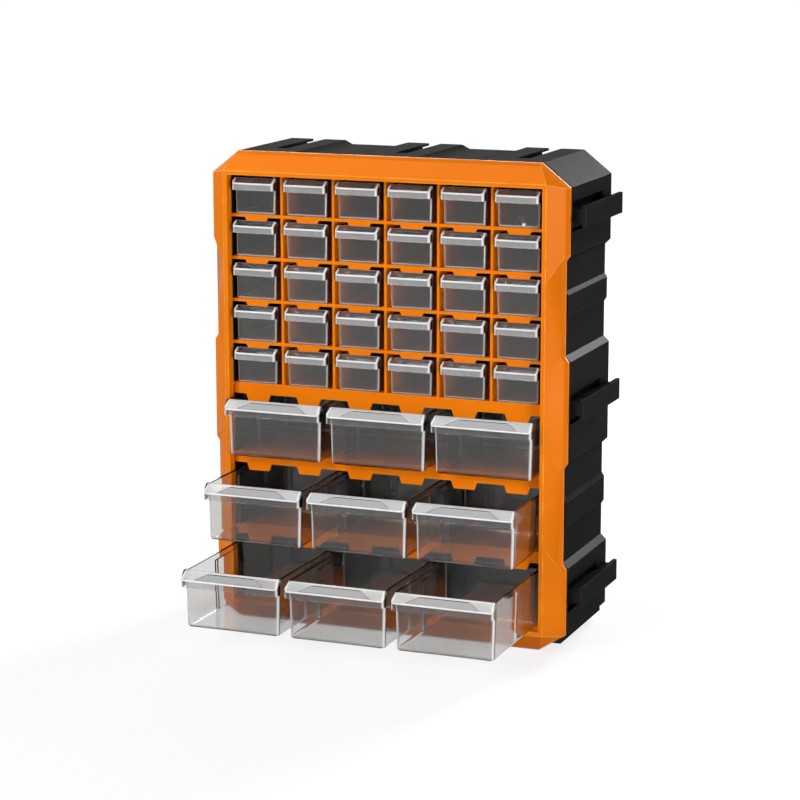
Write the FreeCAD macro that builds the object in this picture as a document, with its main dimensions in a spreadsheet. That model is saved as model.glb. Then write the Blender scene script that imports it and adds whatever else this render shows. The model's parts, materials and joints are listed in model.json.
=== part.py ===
import FreeCAD, Part
import os
import types
import Sketcher

# Parts cabinet: a faceted front frame and a rear shell round a rack of crossed boards,
# with small drawers in the upper rows and large drawers in the lower ones.
# X runs to the right, Y to the back and Z up. The origin is the middle of the base.

SIZES = {
    # Whole cabinet
    "cabinet_width": 380,
    "cabinet_height": 487,
    "cabinet_depth": 150,
    "fit_clearance": 0.2,
    "cut_overrun": 5,
    # Outline that the frame and the shell share: cut corners, and two waists between three bulges
    "top_cut_run": 29,
    "top_cut_drop": 22.8,
    "bottom_cut_run": 27.5,
    "bottom_cut_rise": 17.8,
    "upper_bulge_length": 89,
    "middle_bulge_length": 100.5,
    "middle_bulge_drop": 0.75,
    "lower_bulge_length": 85,
    "waist_step": 5.5,
    # Front frame: a flat strip round the opening, a wide bevel, and an edge facet round the rim
    "border_width": 23,
    "strip_width": 4,
    "edge_facet_width": 3,
    "bevel_depth": 12,
    "rim_depth": 17.5,
    "frame_thickness": 20,
    "rim_waist_inset": 3.7,
    "bevel_waist_inset": 3,
    "long_crease_slant": 26,
    "short_crease_slant": 13.5,
    "tongue_length": 6,
    "tongue_thickness": 3,
    # Rear shell
    "shell_wall": 3,
    "chamfer_wall": 3.8,
    "back_wall": 3,
    "shell_waist_inset": 5.6,
    "shadow_gap": 3.5,
    "base_rise": 8,
    "pad_rise": 4,
    "pad_half": 30,
    "pad_ramp": 8,
    "runner_half": 11.5,
    "floor_rib_thickness": 3,
    "band_inset": 3,
    "band_ramp": 4,
    "upper_band_half": 10.25,
    "upper_band_shift": 3.05,
    "lower_band_half": 12.7,
    "lower_band_shift": 0.45,
    # Joining rails on the right side
    "upper_rail_drop": 51.5,
    "lower_rail_height": 54.1,
    "rail_start": 30,
    "rail_reach": 12,
    "rail_head_half": 10.5,
    "rail_head_thickness": 4,
    "rail_neck_half": 6,
    "rail_clearance": 0.6,
    "pocket_half": 15,
    "pocket_start": 24,
    "pocket_rear_gap": 28,
    # Joining slots in the top pads
    "outer_slot_inset": 31,
    "slot_start": 52,
    "slot_mouth_half": 6.5,
    "slot_groove_half": 13.5,
    "slot_lip": 2.5,
    "slot_groove_height": 4,
    "slot_floor": 2.5,
    # Screw holes in the back wall
    "screw_hole_radius": 2.25,
    # Rack of boards
    "side_board_show": 0.32,
    "floor_board_show": 2.3,
    "top_board_show": 0.1,
    "front_band_height": 11.3,
    "rack_start": 12,
    "partition_start": 37,
    "shelf_thickness": 3,
    "divider_thickness": 2.4,
    "board_overhang": 3,
    "board_play": 0.15,
    "tab_thickness": 3,
    "small_tab_drop": 4,
    "small_tab_half": 10.5,
    "small_tab_slope": 2,
    "large_tab_drop": 7.5,
    "large_tab_half": 10.8,
    "large_tab_slope": 2.7,
    # All drawers
    "drawer_clearance": 0.3,
    "drawer_rear_gap": 3,
    # Small drawers
    "small_wall": 1.5,
    "small_headroom": 3.3,
    "small_side_gap": 4.38,
    "small_taper": 0.7,
    "small_lip_flare": 0.4,
    "small_lip_reach": 7.9,
    "small_lip_drop": 5,
    "small_lip_band": 7,
    "small_stop_rise": 1.8,
    # Large drawers
    "large_wall": 1.6,
    "large_drawer_height": 58.6,
    "large_headroom": 6.3,
    "large_upper_headroom": 2.2,
    "large_side_gap": 3.46,
    "large_taper": 1.4,
    "large_lip_flare": 1.1,
    "large_lip_reach": 8.5,
    "large_lip_drop": 8.5,
    "large_lip_band": 7.2,
    "lip_recess_end": 12.4,
    "lip_recess_margin": 1.6,
    "lip_recess_depth": 0.6,
    "groove_rib": 1.2,
    "groove_width": 2,
    "groove_rib_reach": 2,
    "groove_rib_drop": 6,
    # How far the upper two rows of large drawers stand open, and what the lowest row has left to go
    "upper_row_pull": 21.3,
    "middle_row_pull": 72,
    "lower_row_rest": 1.1,
}
ROWS_OF_SMALL = 5
COLUMNS_OF_SMALL = 6
COLUMNS_OF_LARGE = 3

doc = FreeCAD.newDocument("PartsCabinet")


# Sizes and formulas

class Length:
    """A length together with the sheet formula that gives it."""

    def __init__(self, value, formula):
        self.value = value
        self.formula = formula

    def __neg__(self):
        return Length(-self.value, f"(-{self.formula})")

    def __add__(self, other):
        other = as_length(other)
        return Length(self.value + other.value, f"({self.formula} + {other.formula})")

    def __sub__(self, other):
        other = as_length(other)
        return Length(self.value - other.value, f"({self.formula} - {other.formula})")

    def __mul__(self, other):
        other = as_length(other)
        return Length(self.value * other.value, f"{self.formula} * {other.formula}")

    def __truediv__(self, other):
        other = as_length(other)
        return Length(self.value / other.value, f"{self.formula} / {other.formula}")


def as_length(item):
    """A plain count or zero as it stands in a formula, or the length itself."""
    if isinstance(item, Length):
        return item
    return Length(item, f"({item})")


def fill_sheet():
    """Write the driving dimensions into the sheet and hand them back as lengths with formulas."""
    sheet = doc.addObject("Spreadsheet::Sheet", "Sizes")
    for row, (name, value) in enumerate(SIZES.items(), start=1):
        sheet.set(f"A{row}", name)
        sheet.set(f"B{row}", str(value))
        sheet.setAlias(f"B{row}", name)
    doc.recompute()
    lengths = {name: Length(float(sheet.get(name)), f"Sizes.{name}") for name in SIZES}
    return types.SimpleNamespace(**lengths)


size = fill_sheet()

# Places that several pieces share
half_width = size.cabinet_width / 2
top = size.cabinet_height
front = -size.cabinet_depth / 2
rear = size.cabinet_depth / 2
upper_bulge_foot = top - size.upper_bulge_length
middle_bulge_middle = top / 2 - size.middle_bulge_drop
middle_bulge_head = middle_bulge_middle + size.middle_bulge_length / 2
middle_bulge_foot = middle_bulge_middle - size.middle_bulge_length / 2
slot_pitch = half_width - size.top_cut_run - size.outer_slot_inset
waist_x = half_width - size.shell_waist_inset
opening_half = half_width - size.border_width
opening_foot = size.border_width
opening_head = top - size.border_width
shell_front = front + size.frame_thickness
shell_body_front = shell_front + size.shadow_gap
behind_tongue = shell_front + size.tongue_length + size.fit_clearance
back_wall_front = rear - size.back_wall
slot_bottom = top - size.slot_lip - size.slot_groove_height
cavity_half = waist_x - size.shell_wall
cavity_foot = size.base_rise + size.shell_wall
cavity_head = slot_bottom - size.slot_floor
corner_slope = size.top_cut_drop / size.top_cut_run
cavity_cut_x = half_width - size.top_cut_run + (top - size.chamfer_wall - cavity_head) / corner_slope
cavity_cut_z = top - size.top_cut_drop - size.chamfer_wall + (half_width - cavity_half) * corner_slope

# Places in the rack of boards; a level is the top face of the board that a row of drawers stands on
rack_front = front + size.rack_start
rack_rear = back_wall_front - size.fit_clearance
lap_middle = (rack_front + rack_rear) / 2
lower_bay_height = size.fit_clearance + size.large_drawer_height + size.large_headroom
upper_bay_height = size.fit_clearance + size.large_drawer_height + size.large_upper_headroom
lower_large_level = opening_foot + size.floor_board_show
middle_large_level = lower_large_level + lower_bay_height + size.front_band_height
upper_large_level = middle_large_level + lower_bay_height + size.front_band_height
lower_small_level = upper_large_level + upper_bay_height + size.front_band_height
rack_head = opening_head - size.top_board_show + size.shelf_thickness
small_row_pitch = (rack_head - lower_small_level) / ROWS_OF_SMALL
half_divider = size.divider_thickness / 2
outer_column = opening_half - size.side_board_show + half_divider
column_pitch = outer_column / (COLUMNS_OF_SMALL / 2)
rack_half = outer_column + half_divider + size.board_overhang
rack_foot = lower_large_level - size.shelf_thickness - size.board_overhang
rack_top = rack_head + size.board_overhang
half_slot = half_divider + size.board_play


# Modelling helpers

def bind(item, path, length):
    """Bind a property of an object to a length's formula."""
    item.setExpression(path, as_length(length).formula)


def new_body(label, x=0, y=0, z=0):
    body = doc.addObject("PartDesign::Body", label)
    body.Label = label
    bind(body, "Placement.Base.x", x)
    bind(body, "Placement.Base.y", y)
    bind(body, "Placement.Base.z", z)
    return body


def new_sketch(body, plane, offset):
    """Sketch on one of the body's origin planes, moved along the plane's normal."""
    sketch = body.newObject("Sketcher::SketchObject", "Outline")
    origin_plane = next(item for item in body.Origin.OriginFeatures if item.Role == plane)
    sketch.AttachmentSupport = [(origin_plane, "")]
    sketch.MapMode = "FlatFace"
    bind(sketch, "AttachmentOffset.Base.z", offset)
    return sketch


def point_holds(line, spot, point=1):
    """Constraints that hold a point of a line or circle, each with its formula."""
    across, up = [as_length(part) for part in spot]
    return [
        (Sketcher.Constraint("DistanceX", -1, 1, line, point, across.value), across),
        (Sketcher.Constraint("DistanceY", -1, 1, line, point, up.value), up),
    ]


def add_held(sketch, holds):
    """Add constraints to a sketch and bind each to its formula."""
    indices = sketch.addConstraint([constraint for constraint, length in holds])
    for index, (constraint, length) in zip(indices, holds):
        sketch.setExpression(f"Constraints[{index}]", length.formula)


def add_loop(sketch, corners):
    """Closed outline of straight lines whose corners are held by their distances from the sketch's origin."""
    spots = [FreeCAD.Vector(as_length(across).value, as_length(up).value, 0) for across, up in corners]
    following = spots[1:] + spots[:1]
    lines = sketch.addGeometry([Part.LineSegment(*ends) for ends in zip(spots, following)], False)
    joints = [Sketcher.Constraint("Coincident", lines[place - 1], 2, lines[place], 1) for place in range(len(lines))]
    sketch.addConstraint(joints)
    holds = []
    for line, corner in zip(lines, corners):
        holds += point_holds(line, corner)
    add_held(sketch, holds)


def rectangle(left, right, low, high):
    return [(left, low), (right, low), (right, high), (left, high)]


def even_rectangle(half, low, high, middle=0):
    middle = as_length(middle)
    return rectangle(middle - half, middle + half, low, high)


def mirrored(right_side):
    """Closed outline from its right-hand corners, given from the top down."""
    left_side = [(-as_length(across), up) for across, up in reversed(right_side)]
    return right_side + left_side


def pad(body, sketch, length, backward=False):
    feature = body.newObject("PartDesign::Pad", "Pad")
    feature.Profile = sketch
    feature.Reversed = backward
    bind(feature, "Length", length)


def pocket(body, sketch, length):
    feature = body.newObject("PartDesign::Pocket", "Pocket")
    feature.Profile = sketch
    bind(feature, "Length", length)


def add_behind(body, loops, start, end):
    """Solid whose outline is seen from the front and that runs back from start to end."""
    start = as_length(start)
    sketch = new_sketch(body, "XZ_Plane", -start)
    for loop in loops:
        add_loop(sketch, loop)
    pad(body, sketch, as_length(end) - start, backward=True)


def cut_behind(body, loops, start, end):
    """Cut whose outline is seen from the front and that runs back from start to end."""
    start = as_length(start)
    sketch = new_sketch(body, "XZ_Plane", -start)
    for loop in loops:
        add_loop(sketch, loop)
    pocket(body, sketch, as_length(end) - start)


def add_across(body, loop, left, right):
    """Solid whose outline is seen from the right side and that runs from left to right."""
    sketch = new_sketch(body, "YZ_Plane", left)
    add_loop(sketch, loop)
    pad(body, sketch, right - left)


def cut_across(body, loop, left, right):
    """Cut whose outline is seen from the right side and that runs from right to left."""
    sketch = new_sketch(body, "YZ_Plane", right)
    add_loop(sketch, loop)
    pocket(body, sketch, right - left)


# Front frame

def frame_stations():
    """Corners of the frame clockwise from the top right, as seen from the front.

    Each station is three points on one line across the border: on the flat strip, at the foot of the
    wide bevel and on the rim. A crease is a pair of stations that share their point on the strip: there
    a bulge ends and a waist begins, and the crease slants towards the middle of the frame's height.
    """
    strip_x = opening_half + size.strip_width
    bevel_x = half_width - size.edge_facet_width
    bevel_waist_x = bevel_x - size.bevel_waist_inset
    rim_waist_x = half_width - size.rim_waist_inset
    top_cut = top - size.top_cut_drop
    bevel_head_run = size.top_cut_run * (size.top_cut_drop - size.edge_facet_width) / size.top_cut_drop
    bevel_foot_run = (
        size.bottom_cut_run * (size.bottom_cut_rise - size.edge_facet_width) / size.bottom_cut_rise
    )

    def station(strip_z, bevel, rim):
        bevel_y = front + size.bevel_depth
        rim_y = front + size.rim_depth
        return (
            FreeCAD.Vector(strip_x.value, front.value, strip_z.value),
            FreeCAD.Vector(bevel[0].value, bevel_y.value, bevel[1].value),
            FreeCAD.Vector(rim[0].value, rim_y.value, rim[1].value),
        )

    def crease(bulge_end, to_waist, slant):
        waist_end = bulge_end + to_waist
        strip_z = bulge_end + slant
        bulge = station(strip_z, (bevel_x, bulge_end), (half_width, bulge_end))
        waist = station(strip_z, (bevel_waist_x, waist_end), (rim_waist_x, waist_end))
        return [bulge, waist]

    step = size.waist_step
    head = opening_head + size.strip_width
    foot = opening_foot - size.strip_width
    head_bevel = (bevel_x - bevel_head_run, top - size.edge_facet_width)
    foot_bevel = (bevel_x - bevel_foot_run, size.edge_facet_width)
    foot_rim = (half_width - size.bottom_cut_run, as_length(0))
    right_side = [
        station(head, head_bevel, (half_width - size.top_cut_run, top)),
        station(head, (bevel_x, top_cut), (half_width, top_cut)),
        *crease(upper_bulge_foot, -step, -size.long_crease_slant),
        *reversed(crease(middle_bulge_head, step, -size.short_crease_slant)),
        *crease(middle_bulge_foot, -step, size.short_crease_slant),
        *reversed(crease(size.lower_bulge_length, step, size.long_crease_slant)),
        station(foot, (bevel_x, size.bottom_cut_rise), (half_width, size.bottom_cut_rise)),
        station(foot, foot_bevel, foot_rim),
    ]
    left_side = [
        tuple(FreeCAD.Vector(-spot.x, spot.y, spot.z) for spot in line) for line in reversed(right_side)
    ]
    return right_side + left_side


def facet(*corners):
    """Triangles that fill three or four corners; corners that fall together leave one out."""
    first, second, *others = corners
    faces = []
    for third in others:
        if (second - first).cross(third - first).Length > 0:
            faces.append(Part.Face(Part.makePolygon([first, second, third, first])))
        second = third
    return faces


def build_frame_facets():
    """Closed solid under the frame's facets, down to its flat back."""
    stations = frame_stations()
    to_back = FreeCAD.Vector(0, (size.frame_thickness - size.rim_depth).value, 0)
    faces = []
    for (strip, bevel, rim), (next_strip, next_bevel, next_rim) in zip(stations, stations[1:] + stations[:1]):
        faces += facet(strip, next_strip, next_bevel, bevel)
        faces += facet(bevel, next_bevel, next_rim, rim)
        faces += facet(rim, next_rim, next_rim + to_back, rim + to_back)
    strips = [strip for strip, bevel, rim in stations]
    strips = [spot for place, spot in enumerate(strips) if (spot - strips[place - 1]).Length > 0]
    backs = [rim + to_back for strip, bevel, rim in stations]
    faces.append(Part.Face(Part.makePolygon([*strips, strips[0]])))
    faces.append(Part.Face(Part.makePolygon([*backs, backs[0]])))
    skin = Part.Shell(faces)
    skin.sewShape()
    facets = doc.addObject("Part::Feature", "FrameFacets")
    facets.Shape = Part.Solid(skin).removeSplitter()
    facets.Placement = FreeCAD.Placement()
    return facets


def cavity_corners(inset):
    """Right-hand corners of the shell's inside, or of a form that lies an inset further in."""
    return [
        (cavity_cut_x - inset / 2, cavity_head - inset),
        (cavity_half - inset, cavity_cut_z - inset / 2),
        (cavity_half - inset, cavity_foot + inset),
    ]


def build_front_frame():
    """Faceted frame with the drawer opening, a rebate for the rack and a tongue that enters the shell."""
    body = new_body("front_frame")
    body.BaseFeature = build_frame_facets()
    tongue_end = shell_front + size.tongue_length
    outside = mirrored(cavity_corners(size.fit_clearance))
    inside = mirrored(cavity_corners(size.fit_clearance + size.tongue_thickness))
    add_behind(body, [outside, inside], shell_front, tongue_end)
    opening = rectangle(-opening_half, opening_half, opening_foot, opening_head)
    cut_behind(body, [opening], front - size.cut_overrun, tongue_end + size.cut_overrun)
    rebate = even_rectangle(
        rack_half + size.fit_clearance, rack_foot - size.fit_clearance, rack_top + size.fit_clearance
    )
    cut_behind(body, [rebate], rack_front - size.fit_clearance, tongue_end + size.cut_overrun)
    return body


# Rear shell

def shell_corners():
    """Right-hand corners of the shell: half the middle pad, the right pad, and the bulges and waists."""
    band_x = half_width - size.band_inset
    top_floor = top - size.pad_rise
    step = size.waist_step

    def waist(bulge_foot, bulge_head, band_half, band_shift):
        band_middle = (bulge_foot + bulge_head) / 2 + band_shift
        band_head = band_middle + band_half
        band_foot = band_middle - band_half
        return [
            (half_width, bulge_foot),
            (waist_x, bulge_foot - step),
            (waist_x, band_head + size.band_ramp),
            (band_x, band_head),
            (band_x, band_foot),
            (waist_x, band_foot - size.band_ramp),
            (waist_x, bulge_head + step),
            (half_width, bulge_head),
        ]

    return [
        (size.pad_half, top),
        (size.pad_half + size.pad_ramp, top_floor),
        (slot_pitch - size.pad_half - size.pad_ramp, top_floor),
        (slot_pitch - size.pad_half, top),
        (half_width - size.top_cut_run, top),
        (half_width, top - size.top_cut_drop),
        *waist(upper_bulge_foot, middle_bulge_head, size.upper_band_half, size.upper_band_shift),
        *waist(middle_bulge_foot, size.lower_bulge_length, size.lower_band_half, size.lower_band_shift),
        (half_width, size.bottom_cut_rise),
        (waist_x, size.bottom_cut_rise - step),
        (waist_x, size.base_rise),
    ]


def build_rear_shell():
    """Open-fronted shell with floor ribs, runners, joining rails and slots, and screw holes."""
    body = new_body("rear_shell")
    add_behind(body, [mirrored(shell_corners())], shell_body_front, rear)
    neck = [
        (cavity_cut_x, cavity_head + size.shell_wall),
        (cavity_half + size.shell_wall, cavity_cut_z),
        (cavity_half + size.shell_wall, cavity_foot - size.shell_wall),
    ]
    add_behind(body, [mirrored(neck)], shell_front, shell_body_front)
    cut_behind(body, [mirrored(cavity_corners(as_length(0)))], shell_front - size.cut_overrun, back_wall_front)
    add_ribs_and_runners(body)
    cut_top_slots(body)
    add_left_slots(body)
    add_right_rails(body)
    drill_back_wall(body)
    return body


def add_ribs_and_runners(body):
    """Ribs on the shell's floor that carry the rack, and runners under the shell."""
    rib_foot = cavity_foot - size.shell_wall / 2
    rib_head = lower_large_level - size.shelf_thickness - size.fit_clearance
    half_rib = size.floor_rib_thickness / 2
    ribs = [even_rectangle(half_rib, rib_foot, rib_head, column_pitch * place) for place in (-2, 0, 2)]
    add_behind(body, ribs, behind_tongue, back_wall_front + size.back_wall / 2)
    runner_head = size.base_rise + size.shell_wall / 2
    runners = [even_rectangle(size.runner_half, 0, runner_head, slot_pitch * side) for side in (-1, 0, 1)]
    add_behind(body, runners, shell_body_front, rear)


def cut_top_slots(body):
    """T-shaped slots in the top pads, open at the back."""
    mouths = []
    grooves = []
    for side in (-1, 0, 1):
        middle = slot_pitch * side
        mouths.append(even_rectangle(size.slot_mouth_half, slot_bottom, top + size.cut_overrun, middle))
        grooves.append(even_rectangle(size.slot_groove_half, slot_bottom, top - size.slot_lip, middle))
    for loops in (mouths, grooves):
        cut_behind(body, loops, front + size.slot_start, rear + size.cut_overrun)


def rail_middles():
    low = size.lower_rail_height
    high = top - size.upper_rail_drop
    return [low, (low + high) / 2, high]


def add_left_slots(body):
    """T-shaped slots in the left side, open at the back, each inside a boss."""
    head_half = size.rail_head_half + size.rail_clearance
    neck_half = size.rail_neck_half + size.rail_clearance
    slot_end = size.rail_clearance - half_width + size.rail_reach
    groove_end = -half_width + size.rail_reach - size.rail_head_thickness - size.rail_clearance
    boss_half = head_half + size.shell_wall
    wall_middle = -cavity_half - size.shell_wall / 2
    bosses = []
    mouths = []
    grooves = []
    for middle in rail_middles():
        bosses.append(rectangle(wall_middle, slot_end + size.shell_wall, middle - boss_half, middle + boss_half))
        mouths.append(rectangle(-half_width - size.cut_overrun, slot_end, middle - neck_half, middle + neck_half))
        grooves.append(rectangle(groove_end, slot_end, middle - head_half, middle + head_half))
    add_behind(body, bosses, behind_tongue, back_wall_front + size.back_wall / 2)
    for loops in (mouths, grooves):
        cut_behind(body, loops, front + size.rail_start, rear + size.cut_overrun)


def add_right_rails(body):
    """T-shaped rails on the right side, each rising out of a shallow pocket."""
    rail_end = half_width + size.rail_reach
    head_start = rail_end - size.rail_head_thickness
    pockets = []
    necks = []
    heads = []
    for middle in rail_middles():
        low = middle - size.pocket_half
        high = middle + size.pocket_half
        pockets.append(rectangle(waist_x, half_width + size.cut_overrun, low, high))
        necks.append(rectangle(
            waist_x - size.shell_wall / 2,
            head_start + size.rail_head_thickness / 2,
            middle - size.rail_neck_half,
            middle + size.rail_neck_half,
        ))
        heads.append(rectangle(head_start, rail_end, middle - size.rail_head_half, middle + size.rail_head_half))
    cut_behind(body, pockets, front + size.pocket_start, rear - size.pocket_rear_gap)
    for loops in (necks, heads):
        add_behind(body, loops, front + size.rail_start, rear)


def drill_back_wall(body):
    """Screw holes behind the outer drawers of the uppermost and the lowest row."""
    small_row_middle = rack_head - small_row_pitch / 2 - size.shelf_thickness / 2
    large_row_middle = lower_large_level + lower_bay_height / 2
    across = column_pitch * ((COLUMNS_OF_SMALL - 1) / 2)
    sketch = new_sketch(body, "XZ_Plane", size.cut_overrun - back_wall_front)
    for side in (-1, 1):
        for level in (small_row_middle, large_row_middle):
            middle = (across * side, level)
            spot = FreeCAD.Vector(middle[0].value, middle[1].value, 0)
            ring = Part.Circle(spot, FreeCAD.Vector(0, 0, 1), size.screw_hole_radius.value)
            circle = sketch.addGeometry(ring, False)
            radius = Sketcher.Constraint("Radius", circle, size.screw_hole_radius.value)
            add_held(sketch, [*point_holds(circle, middle, 3), (radius, size.screw_hole_radius)])
    pocket(body, sketch, size.back_wall + size.cut_overrun * 2)


# Rack of crossed boards

def column_middle(place):
    """Middle of a small column, counted from the left."""
    return column_pitch * (place - (COLUMNS_OF_SMALL - 1) / 2)


def build_board(label, level, slot_columns):
    """Level board, narrow in its rear half, with a slot from the back for each inner upright board."""
    body = new_body(label, z=level - size.shelf_thickness)
    inner_half = outer_column - half_slot
    slot_end = lap_middle - size.board_play
    right_side = [
        (inner_half, rack_rear),
        (inner_half, slot_end),
        (rack_half, slot_end),
        (rack_half, rack_front),
    ]
    slots = []
    for column in slot_columns:
        middle = column_pitch * column
        slots += [
            (middle - half_slot, rack_rear),
            (middle - half_slot, slot_end),
            (middle + half_slot, slot_end),
            (middle + half_slot, rack_rear),
        ]
    sketch = new_sketch(body, "XY_Plane", 0)
    add_loop(sketch, slots + mirrored(right_side))
    pad(body, sketch, size.shelf_thickness)
    return body


def add_tabs(body, edge, drop, half, slope):
    """Tabs under a board's front edge, one for each small column; they stop the drawers at both ends."""
    seat = edge + size.shelf_thickness / 2
    loops = []
    for place in range(COLUMNS_OF_SMALL):
        middle = column_middle(place)
        loops.append([
            (middle - half, edge - drop),
            (middle + half, edge - drop),
            (middle + half + slope, edge),
            (middle + half + slope, seat),
            (middle - half - slope, seat),
            (middle - half - slope, edge),
        ])
    add_behind(body, loops, rack_front, rack_front + size.tab_thickness)


def build_small_shelf(label, level, slot_columns):
    """Board over a row of small drawers, with their stop tabs."""
    body = build_board(label, level, slot_columns)
    add_tabs(body, as_length(0), size.small_tab_drop, size.small_tab_half, size.small_tab_slope)
    return body


def build_band_shelf(label, level, slot_columns):
    """Board over a row of large drawers, with a deep front band and their stop tabs."""
    body = build_board(label, level, slot_columns)
    band_foot = size.shelf_thickness - size.front_band_height
    band_half = outer_column - half_slot
    band = even_rectangle(band_half, band_foot, size.shelf_thickness / 2)
    add_behind(body, [band], rack_front, rack_front + size.tab_thickness)
    add_tabs(body, band_foot, size.large_tab_drop, size.large_tab_half, size.large_tab_slope)
    return body


def build_upright(label, column, low, high, start, levels):
    """Upright board with a slot from the front for each level board that it crosses."""
    middle = column_pitch * column
    body = new_body(label, x=middle - half_divider)
    slot_end = lap_middle + size.board_play
    corners = [(start, low)]
    for level in levels:
        slot_foot = level - size.shelf_thickness - size.board_play
        slot_head = level + size.board_play
        corners += [(start, slot_foot), (slot_end, slot_foot), (slot_end, slot_head), (start, slot_head)]
    corners += [(start, high), (rack_rear, high), (rack_rear, low)]
    add_across(body, corners, as_length(0), size.divider_thickness)
    return body


def small_levels():
    """Boards that the small drawers stand on or hang tabs over, from the lowest up."""
    return [lower_small_level + small_row_pitch * row for row in range(ROWS_OF_SMALL + 1)]


def build_rack():
    inner_columns = range(1 - COLUMNS_OF_SMALL // 2, COLUMNS_OF_SMALL // 2)
    bay_columns = [-1, 1]
    large_levels = [middle_large_level, upper_large_level]
    pieces = [
        build_board("rack_floor_board", lower_large_level, []),
        build_band_shelf("lower_band_shelf", middle_large_level, bay_columns),
        build_band_shelf("middle_band_shelf", upper_large_level, bay_columns),
        build_band_shelf("upper_band_shelf", lower_small_level, []),
    ]
    for row, level in enumerate(small_levels()[1:], start=1):
        shelf_row = ROWS_OF_SMALL - row
        label = f"small_shelf_{shelf_row}" if shelf_row else "rack_top_board"
        pieces.append(build_small_shelf(label, level, inner_columns))

    divider_foot = lower_small_level + size.fit_clearance
    for number, column in enumerate(inner_columns, start=1):
        pieces.append(build_upright(
            f"small_divider_{number}", column, divider_foot, rack_top, rack_front, small_levels()[1:]
        ))
    partition_foot = lower_large_level + size.fit_clearance
    partition_head = lower_small_level - size.shelf_thickness - size.fit_clearance
    partition_start = front + size.partition_start
    for side, column in (("left", -1), ("right", 1)):
        pieces.append(build_upright(
            f"bay_partition_{side}", column, partition_foot, partition_head, partition_start, large_levels
        ))
    outer = COLUMNS_OF_SMALL // 2
    all_levels = [lower_large_level, *large_levels, *small_levels()]
    for side, column in (("left", -outer), ("right", outer)):
        pieces.append(build_upright(
            f"rack_side_{side}", column, rack_foot, rack_top, rack_front, all_levels
        ))
    return pieces


# Drawers

def drawer_kind(name, bay_half, rim_height):
    """Sizes of one kind of drawer, small or large, under plain names."""
    prefix = name + "_"
    kind = types.SimpleNamespace(**{
        key.removeprefix(prefix): getattr(size, key) for key in SIZES if key.startswith(prefix)
    })
    kind.rim_height = rim_height
    kind.rim_half = bay_half - kind.side_gap
    kind.floor_half = kind.rim_half - kind.taper
    kind.lip_half = kind.rim_half + kind.lip_flare
    return kind


def build_drawer(label, kind, x, level, pull):
    """Open tub with tapered sides and a hooded pull lip; its origin is the foot of the front wall."""
    closed_front = rack_front - kind.wall - size.drawer_clearance
    length = back_wall_front - size.drawer_rear_gap - closed_front
    body = new_body(label, x, closed_front - pull, level + size.fit_clearance)
    rim = kind.rim_height
    tub = mirrored([(kind.rim_half, rim), (kind.floor_half, as_length(0))])
    add_behind(body, [tub], 0, length)
    add_lip(body, kind)
    inside = mirrored([
        (kind.rim_half - kind.wall, rim + size.cut_overrun),
        (kind.rim_half - kind.wall, rim),
        (kind.floor_half - kind.wall, kind.wall),
    ])
    cut_behind(body, [inside], kind.wall, length - kind.wall)
    return body, length


def add_lip(body, kind):
    """Sloping lip in front of the rim, with a level band along its edge and closed ends."""
    rim = kind.rim_height
    skin = kind.wall + kind.wall * kind.lip_drop / kind.lip_reach / 2
    reach = -kind.lip_reach
    edge = rim - kind.lip_drop
    foot = edge - kind.lip_band
    hood = [
        (kind.wall, rim - skin),
        (kind.wall, rim),
        (as_length(0), rim),
        (reach, edge),
        (reach, foot),
        (reach + kind.wall, foot),
        (reach + kind.wall, edge - skin + kind.wall * kind.lip_drop / kind.lip_reach),
        (as_length(0), rim - skin),
    ]
    cheek = [
        (kind.wall / 2, rim - skin / 2),
        (reach + kind.wall / 2, edge - skin / 2),
        (reach + kind.wall / 2, foot),
        (kind.wall / 2, foot),
    ]
    half = kind.lip_half
    add_across(body, hood, -half, half)
    add_across(body, cheek, -half, kind.wall - half)
    add_across(body, cheek, half - kind.wall, half)


def build_small_drawer(row, column):
    rim_height = small_row_pitch - size.shelf_thickness - size.fit_clearance - size.small_headroom
    kind = drawer_kind("small", column_pitch / 2 - half_divider, rim_height)
    level = rack_head - small_row_pitch * row
    label = f"small_drawer_r{row}_c{column}"
    body, length = build_drawer(label, kind, column_middle(column - 1), level, as_length(0))
    rim = kind.rim_height
    stop = even_rectangle(kind.floor_half, rim - kind.wall, rim + kind.stop_rise)
    add_behind(body, [stop], length - kind.wall, length)
    return body


def build_large_drawer(row, column, level, pull):
    """Large drawer with grooves for a divider half way along its sides and a sunk panel on its lip."""
    kind = drawer_kind("large", column_pitch - half_divider, size.large_drawer_height)
    middle = column_pitch * (2 * column - COLUMNS_OF_LARGE - 1)
    label = f"large_drawer_r{row + ROWS_OF_SMALL}_c{column}"
    body, length = build_drawer(label, kind, middle, level, pull)
    add_divider_grooves(body, kind, length)
    sink_lip_panel(body, kind)
    return body


def add_divider_grooves(body, kind, length):
    """Two ribs on the inside of each side wall that hold a divider between them."""
    head = kind.rim_height - size.groove_rib_drop
    head_half = kind.floor_half + (kind.rim_half - kind.floor_half) * head / kind.rim_height
    rib_reach = kind.wall + size.groove_rib_reach
    right = [
        (head_half - rib_reach, head),
        (head_half - kind.wall / 2, head),
        (kind.floor_half - kind.wall / 2, kind.wall / 2),
        (kind.floor_half - rib_reach, kind.wall / 2),
    ]
    left = [(-across, up) for across, up in right]
    for side in (-1, 1):
        near = length / 2 + (size.groove_width / 2 + size.groove_rib / 2) * side - size.groove_rib / 2
        add_behind(body, [right, left], near, near + size.groove_rib)


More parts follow.
